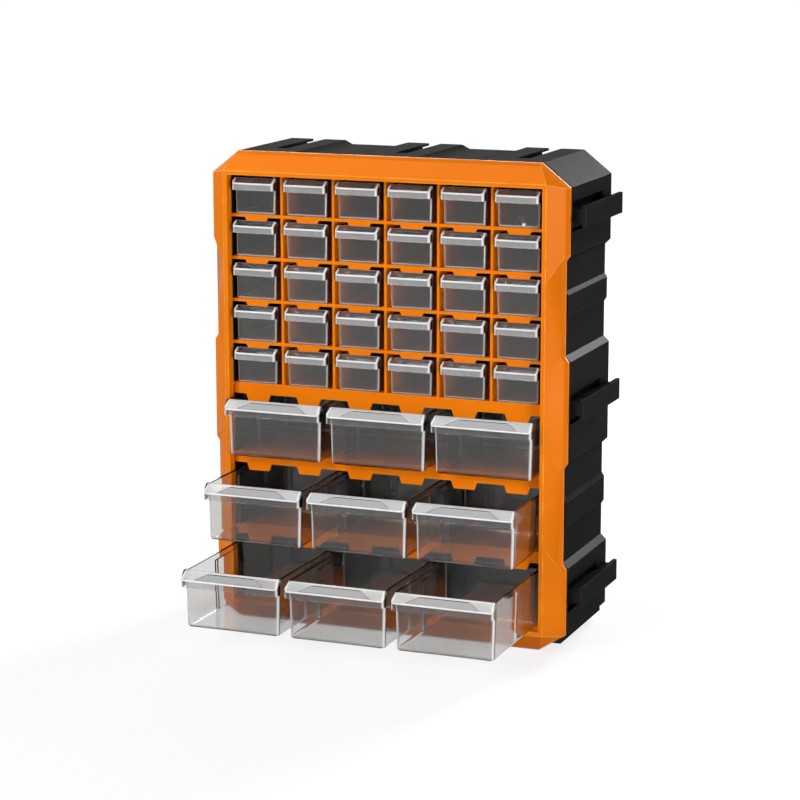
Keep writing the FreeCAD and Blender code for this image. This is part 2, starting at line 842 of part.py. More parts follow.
def sink_lip_panel(body, kind):
    """Shallow panel in the slope of the lip."""
    slope = kind.lip_drop / kind.lip_reach
    near = -size.lip_recess_margin
    far = -kind.lip_reach + size.lip_recess_margin
    rim = kind.rim_height
    panel = [
        (near, rim + near * slope - size.lip_recess_depth),
        (near, rim + near * slope + size.cut_overrun),
        (far, rim + far * slope + size.cut_overrun),
        (far, rim + far * slope - size.lip_recess_depth),
    ]
    half = kind.lip_half - size.lip_recess_end
    cut_across(body, panel, -half, half)


def build_drawers():
    pieces = []
    for row in range(1, ROWS_OF_SMALL + 1):
        for column in range(1, COLUMNS_OF_SMALL + 1):
            pieces.append(build_small_drawer(row, column))
    stopped_rear = rack_front + size.tab_thickness + size.drawer_clearance
    travel = back_wall_front - size.drawer_rear_gap - size.large_wall - stopped_rear
    rows = [
        (upper_large_level, size.upper_row_pull),
        (middle_large_level, size.middle_row_pull),
        (lower_large_level, travel - size.lower_row_rest),
    ]
    for row, (level, pull) in enumerate(rows, start=1):
        for column in range(1, COLUMNS_OF_LARGE + 1):
            pieces.append(build_large_drawer(row, column, level, pull))
    return pieces


# Build, check and export

def check(pieces):
    """Stop where an object is in error or a piece isn't one sound solid."""
    for item in doc.Objects:
        if {"Invalid", "Error"} & set(item.State):
            raise RuntimeError(f"{item.Name} is in error: {item.State}")
    for piece in pieces:
        shape = piece.Shape
        if shape.isNull() or not shape.isValid() or len(shape.Solids) != 1:
            raise RuntimeError(f"{piece.Label} is not one sound solid")
        print(f"{piece.Label}: {shape.Volume:.1f} cubic mm")


pieces = [build_front_frame(), build_rear_shell(), *build_rack(), *build_drawers()]
doc.recompute()
check(pieces)
os.makedirs("parts", exist_ok=True)
for piece in pieces:
    piece.Shape.exportStep(f"parts/{piece.Label}.step")
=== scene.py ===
import json
import math

import bmesh
import bpy
import numpy as np
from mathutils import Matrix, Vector


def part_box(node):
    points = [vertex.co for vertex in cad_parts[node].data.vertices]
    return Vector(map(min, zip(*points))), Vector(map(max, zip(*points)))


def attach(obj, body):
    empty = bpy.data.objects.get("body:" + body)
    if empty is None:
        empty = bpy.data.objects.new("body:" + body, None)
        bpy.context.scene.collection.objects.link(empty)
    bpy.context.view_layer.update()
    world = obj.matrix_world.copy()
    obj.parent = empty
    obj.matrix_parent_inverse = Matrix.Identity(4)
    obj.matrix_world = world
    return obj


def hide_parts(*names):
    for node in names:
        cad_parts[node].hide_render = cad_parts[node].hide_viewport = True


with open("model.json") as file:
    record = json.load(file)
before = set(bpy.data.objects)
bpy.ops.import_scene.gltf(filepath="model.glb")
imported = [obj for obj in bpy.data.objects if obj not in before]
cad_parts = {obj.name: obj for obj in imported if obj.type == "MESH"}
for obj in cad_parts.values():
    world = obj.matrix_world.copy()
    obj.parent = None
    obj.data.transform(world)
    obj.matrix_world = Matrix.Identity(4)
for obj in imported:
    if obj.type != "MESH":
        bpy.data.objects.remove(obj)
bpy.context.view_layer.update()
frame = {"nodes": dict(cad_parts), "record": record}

# Parts cabinet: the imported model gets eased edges, moulded drawers and plastics.
# All lengths are in metres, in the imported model's own frame.

scene = bpy.context.scene
MM = 0.001
CREASE = math.radians(32)


# Meshes

def new_piece(name, mesh, body, node, slot):
    """Object for a mesh that stands for one node, rides on its body and takes its slot's finish."""
    mesh.materials.clear()
    for material in finishes[slot]:
        mesh.materials.append(material)
    piece = bpy.data.objects.new(name, mesh)
    scene.collection.objects.link(piece)
    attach(piece, body)
    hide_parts(node)
    return piece


def ring_grid(rows):
    """Closed mesh over a stack of rings: each face joins a point with its neighbour and the ring above."""
    count, around = rows.shape[:2]
    index = np.arange(count * around).reshape(count, around)
    beside = np.roll(index, -1, axis=1)
    faces = np.stack([index[:-1], index[1:], beside[1:], beside[:-1]], axis=-1).reshape(-1, 4)
    return rows.reshape(-1, 3), faces


def merged_mesh(name, points, faces, distance, **values):
    """Mesh whose doubles are merged, so that seams, poles and folded rows close; values go to its points."""
    mesh = bpy.data.meshes.new(name)
    mesh.from_pydata(points.tolist(), [], faces.tolist())
    for value_name, value in values.items():
        layer = mesh.attributes.new(value_name, "FLOAT", "POINT")
        layer.data.foreach_set("value", value.ravel())
    work = bmesh.new()
    work.from_mesh(mesh)
    bmesh.ops.remove_doubles(work, verts=work.verts, dist=distance)
    bmesh.ops.dissolve_degenerate(work, edges=work.edges, dist=distance)
    work.to_mesh(mesh)
    work.free()
    return mesh


def smooth(piece):
    """Smooth faces up to the crease angle, with flat faces kept flat."""
    piece.data.shade_smooth()
    piece.data.set_sharp_from_angle(angle=CREASE)
    weights = piece.modifiers.new("Weights", "WEIGHTED_NORMAL")
    weights.keep_sharp = True


# Materials

def new_material(name):
    material = bpy.data.materials.new(name)
    material.use_nodes = True
    return material, material.node_tree.nodes["Principled BSDF"]


def output_of(material):
    return material.node_tree.nodes["Material Output"]


def add_node(material, kind, **values):
    """Node of a kind with its sockets or properties set by name."""
    node = material.node_tree.nodes.new(kind)
    for name, value in values.items():
        socket = node.inputs.get(name.replace("_", " ").title())
        if socket is None:
            setattr(node, name, value)
        else:
            socket.default_value = value
    return node


def join(material, source, target):
    material.node_tree.links.new(source, target)


def noise(material, scale, detail=3.0, roughness=0.5):
    """Noise in the object's own coordinates."""
    place = add_node(material, "ShaderNodeTexCoord")
    texture = add_node(material, "ShaderNodeTexNoise", scale=scale, detail=detail, roughness=roughness)
    join(material, place.outputs["Object"], texture.inputs["Vector"])
    return texture


def ramp(material, source, stops):
    """Colours blended along a value; stops are pairs of place and colour."""
    node = material.node_tree.nodes.new("ShaderNodeValToRGB")
    elements = node.color_ramp.elements
    for element, (place, colour) in zip(elements, (stops[0], stops[-1])):
        element.position = place
        element.color = (*colour, 1)
    for place, colour in stops[1:-1]:
        elements.new(place).color = (*colour, 1)
    join(material, source, node.inputs["Fac"])
    return node


def remap(material, source, from_low, from_high, to_low, to_high, way="LINEAR"):
    """Value carried from one range to another and held at the ends."""
    node = add_node(material, "ShaderNodeMapRange", interpolation_type=way)
    ends = {"From Min": from_low, "From Max": from_high, "To Min": to_low, "To Max": to_high}
    for name, value in ends.items():
        node.inputs[name].default_value = value
    join(material, source, node.inputs["Value"])
    return node.outputs["Result"]


def uneven(material, scale, low, high):
    """Value that wanders between two ends; the noise itself keeps mostly between 0.3 and 0.7."""
    return remap(material, noise(material, scale).outputs["Fac"], 0.3, 0.7, low, high)


def add_grain(material, shader, layers):
    """Bumps laid over one another, each given by its scale, strength and height in metres."""
    under = None
    for scale, strength, height in layers:
        texture = noise(material, scale, 2.0)
        bump = material.node_tree.nodes.new("ShaderNodeBump")
        bump.inputs["Strength"].default_value = strength
        bump.inputs["Distance"].default_value = height
        join(material, texture.outputs["Fac"], bump.inputs["Height"])
        if under:
            join(material, under.outputs["Normal"], bump.inputs["Normal"])
        under = bump
    join(material, under.outputs["Normal"], shader.inputs["Normal"])


def make_orange_plastic(name, scale, stops):
    """Moulded orange plastic: faint flow clouds, a satin gloss that varies, and a fine grain."""
    material, shader = new_material(name)
    colour = ramp(material, noise(material, scale, 4.0).outputs["Fac"], stops)
    join(material, colour.outputs["Color"], shader.inputs["Base Color"])
    shader.inputs["Specular IOR Level"].default_value = 0.05
    join(material, uneven(material, 40.0, 0.3, 0.4), shader.inputs["Roughness"])
    add_grain(material, shader, [(2600.0, 0.25, 0.00003), (60.0, 0.12, 0.0003)])
    return material


def make_black_plastic(name, scale, stops):
    """Moulded black plastic: dull, with a thin even sheen and a spark-eroded grain."""
    material, shader = new_material(name)
    colour = ramp(material, noise(material, scale, 5.0).outputs["Fac"], stops)
    join(material, colour.outputs["Color"], shader.inputs["Base Color"])
    shader.inputs["Specular IOR Level"].default_value = 0
    shader.inputs["Coat Weight"].default_value = 0.022
    shader.inputs["Coat IOR"].default_value = 4
    shader.inputs["Coat Roughness"].default_value = 0.33
    join(material, uneven(material, 55.0, 0.3, 0.36), shader.inputs["Roughness"])
    add_grain(material, shader, [(1900.0, 0.3, 0.00004), (90.0, 0.05, 0.0002)])
    join(material, shader.inputs["Normal"].links[0].from_socket, shader.inputs["Coat Normal"])
    return material


# Frost and painted light values of the clear plastic: -1 is see-through but black, painted shade on rims and
# cheeks, 0 clear, 1 white frost, and 2 black frost; the panel's outline, near 2, is painted shade.
BLACK_CLEAR = -1.0
OUTLINE_FROST = 1.94
BLACK_FROST = 2.0


def frost_value(material):
    """The frost and painted light attribute, lowered to black where the under_rim attribute is less than
    about 1.3 mm: painted shade along the rims.
    """
    given = add_node(material, "ShaderNodeAttribute", attribute_name="frost")
    under = add_node(material, "ShaderNodeAttribute", attribute_name="under_rim")
    # Painted shade: the rims and the wall just under them go black.
    rim = remap(material, under.outputs["Fac"], 1.1 * MM, 1.5 * MM, BLACK_CLEAR, 0)
    total = add_node(material, "ShaderNodeMath", operation="ADD")
    join(material, given.outputs["Fac"], total.inputs[0])
    join(material, rim, total.inputs[1])
    return total.outputs["Value"]


def tint_by_frost(material, shader, frost):
    """Base colour: faint clouds, scaled down towards both black ends of the frost values, where shade is
    painted.
    """
    clouds = noise(material, 18.0, 3.0).outputs["Fac"]
    colour = ramp(material, clouds, [(0.3, (0.90, 0.905, 0.91)), (0.7, (0.95, 0.955, 0.96))])
    place = remap(material, frost, BLACK_CLEAR, BLACK_FROST, 0, 1)
    black, white = (0, 0, 0), (1, 1, 1)
    shade = ramp(material, place, [(0.0, black), (0.333, white), (0.667, white), (1.0, black)])
    tint = add_node(material, "ShaderNodeVectorMath", operation="SCALE")
    join(material, colour.outputs["Color"], tint.inputs["Vector"])
    join(material, shade.outputs["Color"], tint.inputs["Scale"])
    join(material, tint.outputs["Vector"], shader.inputs["Base Color"])


def roughen_by_frost(material, shader, frost):
    """Roughness: the gloss of polished plastic plus 0.16 times the frost, kept between 0 and 1."""
    rough = add_node(material, "ShaderNodeMath", operation="MULTIPLY_ADD")
    rough.inputs[1].default_value = 0.16
    rough.use_clamp = True
    join(material, frost, rough.inputs[0])
    join(material, uneven(material, 120.0, 0.02, 0.06), rough.inputs[2])
    join(material, rough.outputs["Value"], shader.inputs["Roughness"])


def let_lamps_through(material, shader, share):
    """A shadow ray meets a plain tint in place of the plastic, so that lamps light what is behind it."""
    path = add_node(material, "ShaderNodeLightPath")
    tint = add_node(material, "ShaderNodeBsdfTransparent", color=(share, share, share, 1))
    mix = add_node(material, "ShaderNodeMixShader")
    join(material, path.outputs["Is Shadow Ray"], mix.inputs["Fac"])
    join(material, shader.outputs["BSDF"], mix.inputs[1])
    join(material, tint.outputs["BSDF"], mix.inputs[2])
    join(material, mix.outputs["Shader"], output_of(material).inputs["Surface"])


def make_clear_plastic():
    """Clear injection-moulded plastic: slightly smoky and faintly uneven, with frosted places, painted
    highlights and painted shade.

    Frost takes the place of what shines through, and the plastic swallows light along its thickness.
    """
    material, shader = new_material("clear_plastic_face")
    shader.inputs["IOR"].default_value = 1.49
    shader.inputs["Specular IOR Level"].default_value = 0.15
    frost = frost_value(material)
    tint_by_frost(material, shader, frost)
    roughen_by_frost(material, shader, frost)
    join(material, remap(material, frost, 0, 1, 1, 0), shader.inputs["Transmission Weight"])
    add_grain(material, shader, [(400.0, 0.05, 0.00002)])
    depth = add_node(material, "ShaderNodeVolumeAbsorption", color=(0.62, 0.6, 0.57, 1), density=170.0)
    join(material, depth.outputs["Volume"], output_of(material).inputs["Volume"])
    let_lamps_through(material, shader, 0.6)
    return material


# Each finish has the plain material and, where edges are eased, a paler one that the edges take: a painted
# highlight.
finishes = {
    "orange_plastic": (
        make_orange_plastic("orange_plastic_face", 9.0, [
            (0.3, (0.85, 0.19, 0.003)), (0.5, (0.89, 0.205, 0.003)), (0.7, (0.92, 0.225, 0.004)),
        ]),
        # Paler colour of the bevelled edges: painted highlight.
        make_orange_plastic("orange_plastic_edge", 70.0, [
            (0.35, (0.9, 0.24, 0.01)), (0.65, (1.0, 0.42, 0.06)),
        ]),
    ),
    "black_plastic": (
        make_black_plastic("black_plastic_face", 14.0, [
            (0.3, (0.008, 0.008, 0.0073)), (0.55, (0.010, 0.0098, 0.009)), (0.75, (0.012, 0.0116, 0.0105)),
        ]),
        # Paler grey of the bevelled edges: painted highlight.
        make_black_plastic("black_plastic_edge", 70.0, [
            (0.35, (0.02, 0.0195, 0.0185)), (0.65, (0.09, 0.088, 0.084)),
        ]),
    ),
    "clear_plastic": (make_clear_plastic(),),
}


# Frame, shell and boards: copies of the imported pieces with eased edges

def body_of(node):
    return next(body for body, nodes in frame["record"]["behaviour"]["bodies"].items() if node in nodes)


def slot_of(node):
    return next(part["material_slot"] for part in frame["record"]["subparts"] if part["node"] == node)


def ease(node, width, segments):
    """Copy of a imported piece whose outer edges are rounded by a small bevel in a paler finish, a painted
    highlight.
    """
    mesh = frame["nodes"][node].data.copy()
    work = bmesh.new()
    work.from_mesh(mesh)
    bmesh.ops.remove_doubles(work, verts=work.verts, dist=0.01 * MM)
    bmesh.ops.dissolve_limit(
        work, angle_limit=math.radians(0.5), verts=work.verts, edges=work.edges, use_dissolve_boundaries=False
    )
    weight = work.edges.layers.float.new("bevel_weight_edge")
    for edge in work.edges:
        edge[weight] = float(edge.is_manifold and edge.calc_face_angle_signed() > CREASE)
    work.to_mesh(mesh)
    work.free()
    mesh.shade_smooth()
    mesh.set_sharp_from_angle(angle=math.radians(15))
    piece = new_piece(node + "_eased", mesh, body_of(node), node, slot_of(node))
    bevel = piece.modifiers.new("Edges", "BEVEL")
    bevel.width = width
    bevel.segments = segments
    bevel.limit_method = "WEIGHT"
    # The bevel's faces take the second, paler material: a painted highlight along the edges.
    bevel.material = 1
    bevel.harden_normals = True


# Width and segments of the rounding where it isn't the boards' own
ROUNDINGS = {"front_frame": (0.5 * MM, 3), "rear_shell": (0.5 * MM, 2)}
for node in frame["record"]["behaviour"]["bodies"]["cabinet"]:
    ease(node, *ROUNDINGS.get(node, (0.3 * MM, 2)))


# Drawers

class Tub:
    """Sizes of one drawer, taken from its node's box and from the moulding's own measures."""

    def __init__(self, node, kind):
        low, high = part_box(node)
        self.middle = (low.x + high.x) / 2
        self.foot = low.z
        self.wall = kind["wall"]
        self.reach = kind["reach"]
        self.drop = kind["drop"]
        self.band = kind["band"]
        self.stop = kind["stop"]
        self.rim = high.z - low.z - self.stop
        self.front = low.y + self.reach
        self.length = high.y - self.front
        self.lip_half = (high.x - low.x) / 2
        self.rim_half = self.lip_half - kind["flare"]
        self.floor_half = self.rim_half - kind["taper"]
        self.corner = kind["corner"]
        self.lip_corner = kind["lip_corner"]
        self.floor_edge = kind["floor_edge"]
        self.lip_edge = kind["lip_edge"]
        self.skin = self.wall * (1 + self.drop / self.reach / 2)
        self.ribs = kind["ribs"]
        self.panel = kind["panel"]
        self.panel_edge = 0.1 * MM
        self.panel_line = 0.9 * MM
        self.foot_frost, self.wall_frost, self.band_frost, self.corner_frost, self.edge_frost = kind["frost"]
        self.slope_frost, self.panel_frost = kind["slope_frost"]


# Ribs: reach into the drawer, drop below the rim, and near and far distance from the middle of the side.
# Panel: half width at its foot, half width at its head, and depth.
# Frost and painted light: at the wall's foot, a painted highlight on the small drawers and darker on the
# large; on its corners, frost with painted highlight; on the band; painted highlight on the band's corners;
# and painted highlight at the slope's edge.
# Slope frost: on the slope and on the panel.
SMALL = {
    "wall": 1.5 * MM, "reach": 7.9 * MM, "drop": 5 * MM, "band": 7 * MM, "stop": 1.8 * MM,
    "flare": 0.4 * MM, "taper": 0.7 * MM, "corner": 3 * MM, "lip_corner": 4 * MM,
    "floor_edge": 3 * MM, "lip_edge": 1.3 * MM, "ribs": (), "panel": (),
    "frost": (0.3, 0.45, 0.26, 1.0, 0.8), "slope_frost": (0.02, 0),
}
LARGE = {
    "wall": 1.6 * MM, "reach": 8.5 * MM, "drop": 8.5 * MM, "band": 7.2 * MM, "stop": 0,
    "flare": 1.1 * MM, "taper": 1.4 * MM, "corner": 4 * MM, "lip_corner": 4 * MM,
    "floor_edge": 4 * MM, "lip_edge": 1.3 * MM,
    "ribs": (2 * MM, 6 * MM, 1 * MM, 2.2 * MM), "panel": (38.5 * MM, 25 * MM, 0.6 * MM),
    "frost": (-0.5, 0.85, -0.2, 1.0, 0.9), "slope_frost": (0.4, 1.55),
}
# Columns round a quarter corner
ARC = 9
# Columns of a drawer's side that the ribs raise, counted from its front corner
RIB_COLUMNS = (4, 5, 8, 9)
# Rings of the lip's panel: share along the slope, and 0 for the slope, 1 for the outline, with painted shade,
# or 2 for the panel
PANEL_ROWS = ((0.13, 0), (0.145, 1), (0.2, 1), (0.21, 2), (0.79, 2), (0.8, 1), (0.855, 1), (0.87, 0))


class Around:
    """Columns round a drawer: the right side from the rear, the front, the left side and the rear.

    Each column has a share across and a share along the straight runs, and a direction out of its corner.
    """

    def __init__(self, tub):
        straight = tub.length - 2 * tub.corner
        # The lip's cheeks run out into the side over the first stretch, and the last one leads to the rear.
        cheek_run, rear_run = 1.2 * MM, 2.5 * MM
        side = [0.0, cheek_run / straight]
        if tub.ribs:
            inner, outer = tub.ribs[2:]
            slant = 0.1 * MM
            half = [inner - slant, inner, outer, outer + slant]
            steps = [*(-step for step in half[::-1]), *half]
            side += [0.5 + step / straight for step in steps]
        side += [1 - rear_run / straight, 1.0]
        turn = np.linspace(0, math.pi / 2, ARC)
        across = self.front_shares(tub)
        self.front_count = len(across)
        ends = np.array(side[:0:-1])
        parts = [
            (np.ones_like(ends), ends, np.ones_like(ends), np.zeros_like(ends)),
            (np.ones(ARC), np.zeros(ARC), np.cos(turn), -np.sin(turn)),
            (across, np.zeros_like(across), np.zeros_like(across), -np.ones_like(across)),
            (-np.ones(ARC), np.zeros(ARC), -np.cos(turn[::-1]), -np.sin(turn[::-1])),
            (-np.ones_like(ends), ends[::-1], -np.ones_like(ends), np.zeros_like(ends)),
            (-np.ones(ARC - 2), np.ones(ARC - 2), -np.cos(turn[1:-1]), np.sin(turn[1:-1])),
            (np.array([-1.0, 0.0, 1.0]), np.ones(3), np.zeros(3), np.ones(3)),
            (np.ones(ARC - 2), np.ones(ARC - 2), np.cos(turn[1:-1][::-1]), np.sin(turn[1:-1][::-1])),
        ]
        self.u, self.v, self.dx, self.dy = (np.concatenate(column) for column in zip(*parts))
        start = len(ends)
        self.lip = slice(start, start + 2 * ARC + self.front_count)
        self.count = len(self.u)
        self.rear = (self.v == 1) & (self.dy > 0.3)
        self.rib = np.zeros(self.count, bool)
        if tub.ribs:
            raised = len(ends) - np.array(RIB_COLUMNS)
            self.rib[raised] = True
            self.rib[self.lip.stop + len(ends) - 1 - raised] = True

    def front_shares(self, tub):
        """Shares across the straight front, from right to left, with the panel's columns among them."""
        if not tub.panel:
            return np.linspace(1, -1, 5)[1:-1]
        return panel_columns(tub) / (tub.rim_half - tub.corner)

    def ring(self, tub, inset, height):
        """Points of the tub's wall: x = u (half - r) + dx r, y = front + r + v (length - 2 r) + dy r.

        The half width grows with the height from the floor's to the rim's, and the corner's radius r
        shrinks with the inset, to 0.6 mm at the least.
        """
        height = np.broadcast_to(height, self.count)
        inset = np.broadcast_to(inset, self.count)
        half = tub.floor_half + (tub.rim_half - tub.floor_half) * height / tub.rim - inset
        radius = np.maximum(tub.corner - inset, 0.6 * MM)
        x = tub.middle + self.u * (half - radius) + self.dx * radius
        straight = tub.length - 2 * inset - 2 * radius
        y = tub.front + inset + radius + self.v * straight + self.dy * radius
        return np.stack([x, y, tub.foot + height], axis=-1)

    def frost(self, front, corner, cheek=0, elsewhere=0):
        """Frost and painted light along the front, in the middle of its two corners, on the cheeks, and
        elsewhere.
        """
        frost = np.full(self.count, float(elsewhere))
        share = np.linspace(0, 1, ARC)
        turn = np.interp(share, [0.15, 0.45, 0.55, 0.85], [cheek, corner, corner, front])
        frost[self.lip] = np.concatenate([turn, np.full(self.front_count, front), turn[::-1]])
        return frost

    def lip_path(self, tub, inset):
        """Plan of the lip's outer face or, set in by the wall, of its inner face.

        The path runs along the right cheek, round a corner, along the front, and back along the left cheek.
        """
        half = tub.lip_half - inset
        front = -tub.reach + inset
        radius = max(tub.lip_corner - inset, 0.5 * MM)
        straight_half = tub.rim_half - tub.corner if tub.panel else half - radius
        turn = np.linspace(0, math.pi / 2, ARC - 1)
        corner_x = np.concatenate([[half], half - radius + radius * np.cos(turn)])
        corner_y = np.concatenate([[0.0], front + radius - radius * np.sin(turn)])
        straight_x = self.u[self.lip][ARC:-ARC] * straight_half
        x = np.concatenate([corner_x, straight_x, -corner_x[::-1]])
        y = np.concatenate([corner_y, np.full(self.front_count, front), corner_y[::-1]])
        return tub.middle + x, y


def slope_height(tub, y):
    """Height of the lip's slope at a distance before the wall: it falls evenly from the rim to the edge."""
    return tub.foot + tub.rim + np.minimum(y, 0) * tub.drop / tub.reach


def on_lip(around, base, x, y, z):
    """A ring of points with those of the lip's columns put elsewhere."""
    points = base.copy()
    points[around.lip] = np.stack([x, y, z], axis=-1)
    return points


def rounded_rows(stations):
    """Rings through the stations, with the corner at each station that has a radius rounded.

    The corner is the curve (1-t)^2 a + 2 t (1-t) b + t^2 c, where b is the corner and a and c lie the
    radius away from it towards the stations before and after, or not quite half way if that is less.
    """
    rows = []
    frosts = []
    for place, (points, radius, steps, edge_frost, face_frost) in enumerate(stations):
        if not radius:
            rows.append(points)
            frosts.append(np.broadcast_to(face_frost, len(points)))
            continue
        before = stations[place - 1][4]
        for frost in (before, *[edge_frost] * (steps - 2), face_frost):
            frosts.append(np.broadcast_to(frost, len(points)))
        sides = []
        for other in (stations[place - 1][0], stations[place + 1][0]):
            way = other - points
            far = np.linalg.norm(way, axis=-1, keepdims=True)
            share = np.minimum(radius / np.maximum(far, 1e-9), 0.48)
            sides.append(points + way * share)
        for t in np.linspace(0, 1, steps):
            rows.append((1 - t) ** 2 * sides[0] + 2 * t * (1 - t) * points + t ** 2 * sides[1])
    return np.stack(rows), np.stack(frosts)


# A drawer's section is a row of stations, from the floor's underside over the lip and rim to the inner floor.
# Each is a ring of points with its rounding radius, the number of rings that the rounding gets, and the frost
# and painted light on the rounding and on the face that follows.

def pole(tub, around, height):
    """Ring whose points all lie in the middle of the floor."""
    point = np.array([tub.middle, tub.front + tub.length / 2, tub.foot + height])
    return np.broadcast_to(point, (around.count, 3))


def outer_stations(tub, around):
    """From the floor's underside up the wall, out under the lip and up its face to the edge of its slope."""
    # Wall corners and the small drawers' foot: frost with a painted highlight.
    wall_frost = around.frost(0, tub.wall_frost)
    foot_frost = around.frost(tub.foot_frost, tub.wall_frost)
    # Band and slope: painted highlight in the middle of the corners, painted shade on the cheeks.
    band_frost = around.frost(tub.band_frost, tub.corner_frost, BLACK_CLEAR)
    slope_frost = around.frost(tub.slope_frost, tub.corner_frost, BLACK_CLEAR)
    # Painted highlight along the slope's front edge.
    edge_frost = around.frost(tub.edge_frost, tub.edge_frost, tub.edge_frost)
    band_foot = tub.rim - tub.drop - tub.band
    wall_head = np.full(around.count, band_foot)
    wall_head[around.lip] = tub.rim - tub.skin
    low = around.ring(tub, 0, band_foot)
    half_up = around.ring(tub, 0, (band_foot + tub.rim) / 2)
    x, y = around.lip_path(tub, 0)
    inner_x, inner_y = around.lip_path(tub, tub.wall)
    outer_head = slope_height(tub, y)
    inner_head = slope_height(tub, inner_y) - tub.skin
    foot = np.full(len(x), tub.foot + band_foot)
    foot_round = tub.wall * 0.35
    return [
        (pole(tub, around, 0), 0, 1, 0, 0),
        (around.ring(tub, 0, 0), tub.floor_edge, 6, foot_frost, wall_frost),
        (around.ring(tub, 0, wall_head), 0, 1, 0, wall_frost),
        (on_lip(around, low, inner_x, tub.front + inner_y, inner_head), tub.wall * 0.4, 3, 0, 0),
        (on_lip(around, low, inner_x, tub.front + inner_y, foot), foot_round, 3, 0, 0),
        (on_lip(around, low, x, tub.front + y, foot), foot_round, 3, band_frost, band_frost),
        (on_lip(around, half_up, x, tub.front + y, outer_head), tub.lip_edge, 5, edge_frost, slope_frost),
    ]


def inner_stations(tub, around):
    """Over the rim, down the inside past the ribs, and over the inner floor to its middle."""
    # Rim: painted highlight at the front and painted shade on the lip's corners and cheeks; inside, painted
    # shade on the corners and cheeks.
    rim_frost = around.frost(tub.edge_frost, BLACK_CLEAR, BLACK_CLEAR)
    inner_rim_frost = around.frost(0, BLACK_CLEAR, BLACK_CLEAR)
    rim = np.full(around.count, tub.rim)
    rim[around.rear] += tub.stop
    rim_round = 0.4 * MM
    return [
        (around.ring(tub, 0, rim), rim_round, 3, rim_frost, inner_rim_frost),
        (around.ring(tub, tub.wall, rim), rim_round, 3, inner_rim_frost, 0),
        *rib_stations(tub, around),
        (around.ring(tub, tub.wall + rib_reach(tub, around), tub.wall), 1.5 * MM, 4, 0, 0),
        (pole(tub, around, tub.wall), 0, 1, 0, 0),
    ]


def panel_columns(tub):
    """Distances from the middle, right to left: at the panel's foot, both sides of its edge and outline."""
    edge = np.array([tub.panel_edge, -tub.panel_edge])
    half = tub.panel[0] + np.concatenate([edge, edge / 2 - tub.panel_line])
    return np.concatenate([half, [0.0], -half[::-1]])


def panel_stations(tub, around):
    """Rings along the lip's slope that sink a grey trapezium with a dark outline, painted shade, into it.

    A point of the slope is edge + along (wall - edge). The trapezium's half width goes evenly from the
    lower one at its first ring to the upper one at its last.
    """
    if not tub.panel:
        return []
    lower, upper, depth = tub.panel
    high = around.ring(tub, 0, tub.rim)
    wall = high[around.lip]
    x, y = around.lip_path(tub, 0)
    edge = np.stack([x, tub.front + y, slope_height(tub, y)], axis=-1)
    column = panel_columns(tub)
    inside = np.abs(column) < lower
    middle = np.abs(column) < lower - tub.panel_line
    front = slice(ARC, ARC + around.front_count)
    first, last = PANEL_ROWS[0][0], PANEL_ROWS[-1][0]
    steps = []
    for along, level in PANEL_ROWS:
        points = edge + (wall - edge) * along
        half = lower + (upper - lower) * (along - first) / (last - first)
        points[front, 0] = tub.middle + column * half / lower
        points[front, 2] -= inside * depth * (level > 0)
        ring = high.copy()
        ring[around.lip] = points
        frost = around.frost(tub.slope_frost, tub.corner_frost, BLACK_CLEAR)
        if level:
            # The outline's near-black: painted shade along the panel's sunken edge.
            frost[around.lip][front][inside] = OUTLINE_FROST
        if level == 2:
            frost[around.lip][front][middle] = tub.panel_frost
        steps.append((ring, 0, 1, 0, frost))
    return steps


def rib_reach(tub, around):
    return around.rib * tub.ribs[0] if tub.ribs else 0


def rib_stations(tub, around):
    """Two rings at the heads of the ribs that hold a divider."""
    if not tub.ribs:
        return []
    head = tub.rim - tub.ribs[1]
    slant = 0.3 * MM
    reach = rib_reach(tub, around)
    return [
        (around.ring(tub, tub.wall, head), 0, 1, 0, 0),
        (around.ring(tub, tub.wall + reach, head - slant), 0, 1, 0, 0),
    ]


def mould_drawer(node, kind):
    """One closed skin: rings round the drawer, carried along its section from floor to floor."""
    tub = Tub(node, kind)
    around = Around(tub)
    stations = [*outer_stations(tub, around), *panel_stations(tub, around), *inner_stations(tub, around)]
    rows, frost = rounded_rows(stations)
    points, faces = ring_grid(rows)
    under_rim = tub.foot + tub.rim + tub.stop * around.rear - rows[..., 2]
    under_rim[:, around.lip] = tub.rim
    mesh = merged_mesh(node + "_moulded", points, faces, 0.02 * MM, frost=frost, under_rim=under_rim)
    smooth(new_piece(node + "_moulded", mesh, node, node, "clear_plastic"))


for node in sorted(frame["nodes"]):
    if node.startswith("small_drawer"):
        mould_drawer(node, SMALL)
    elif node.startswith("large_drawer"):
        mould_drawer(node, LARGE)


# Floor, world, lamps and camera

def make_floor():
    """Level disc whose points are x = r cos a, y = r sin a, with r as the square of a share of the reach."""
    around, steps, reach = 96, 12, 6.0
    angle = np.linspace(0, 2 * math.pi, around, endpoint=False)
    radius = np.linspace(0, 1, steps) ** 2 * reach
    rows = np.stack([
        radius[:, None] * np.cos(angle),
        radius[:, None] * np.sin(angle),
        np.full((steps, around), 0.0),
    ], axis=-1)
    points, faces = ring_grid(rows)
    mesh = merged_mesh("floor", points, faces[:, ::-1], 0.1 * MM)
    mesh.materials.append(make_floor_white())
    floor = bpy.data.objects.new("floor", mesh)
    scene.collection.objects.link(floor)


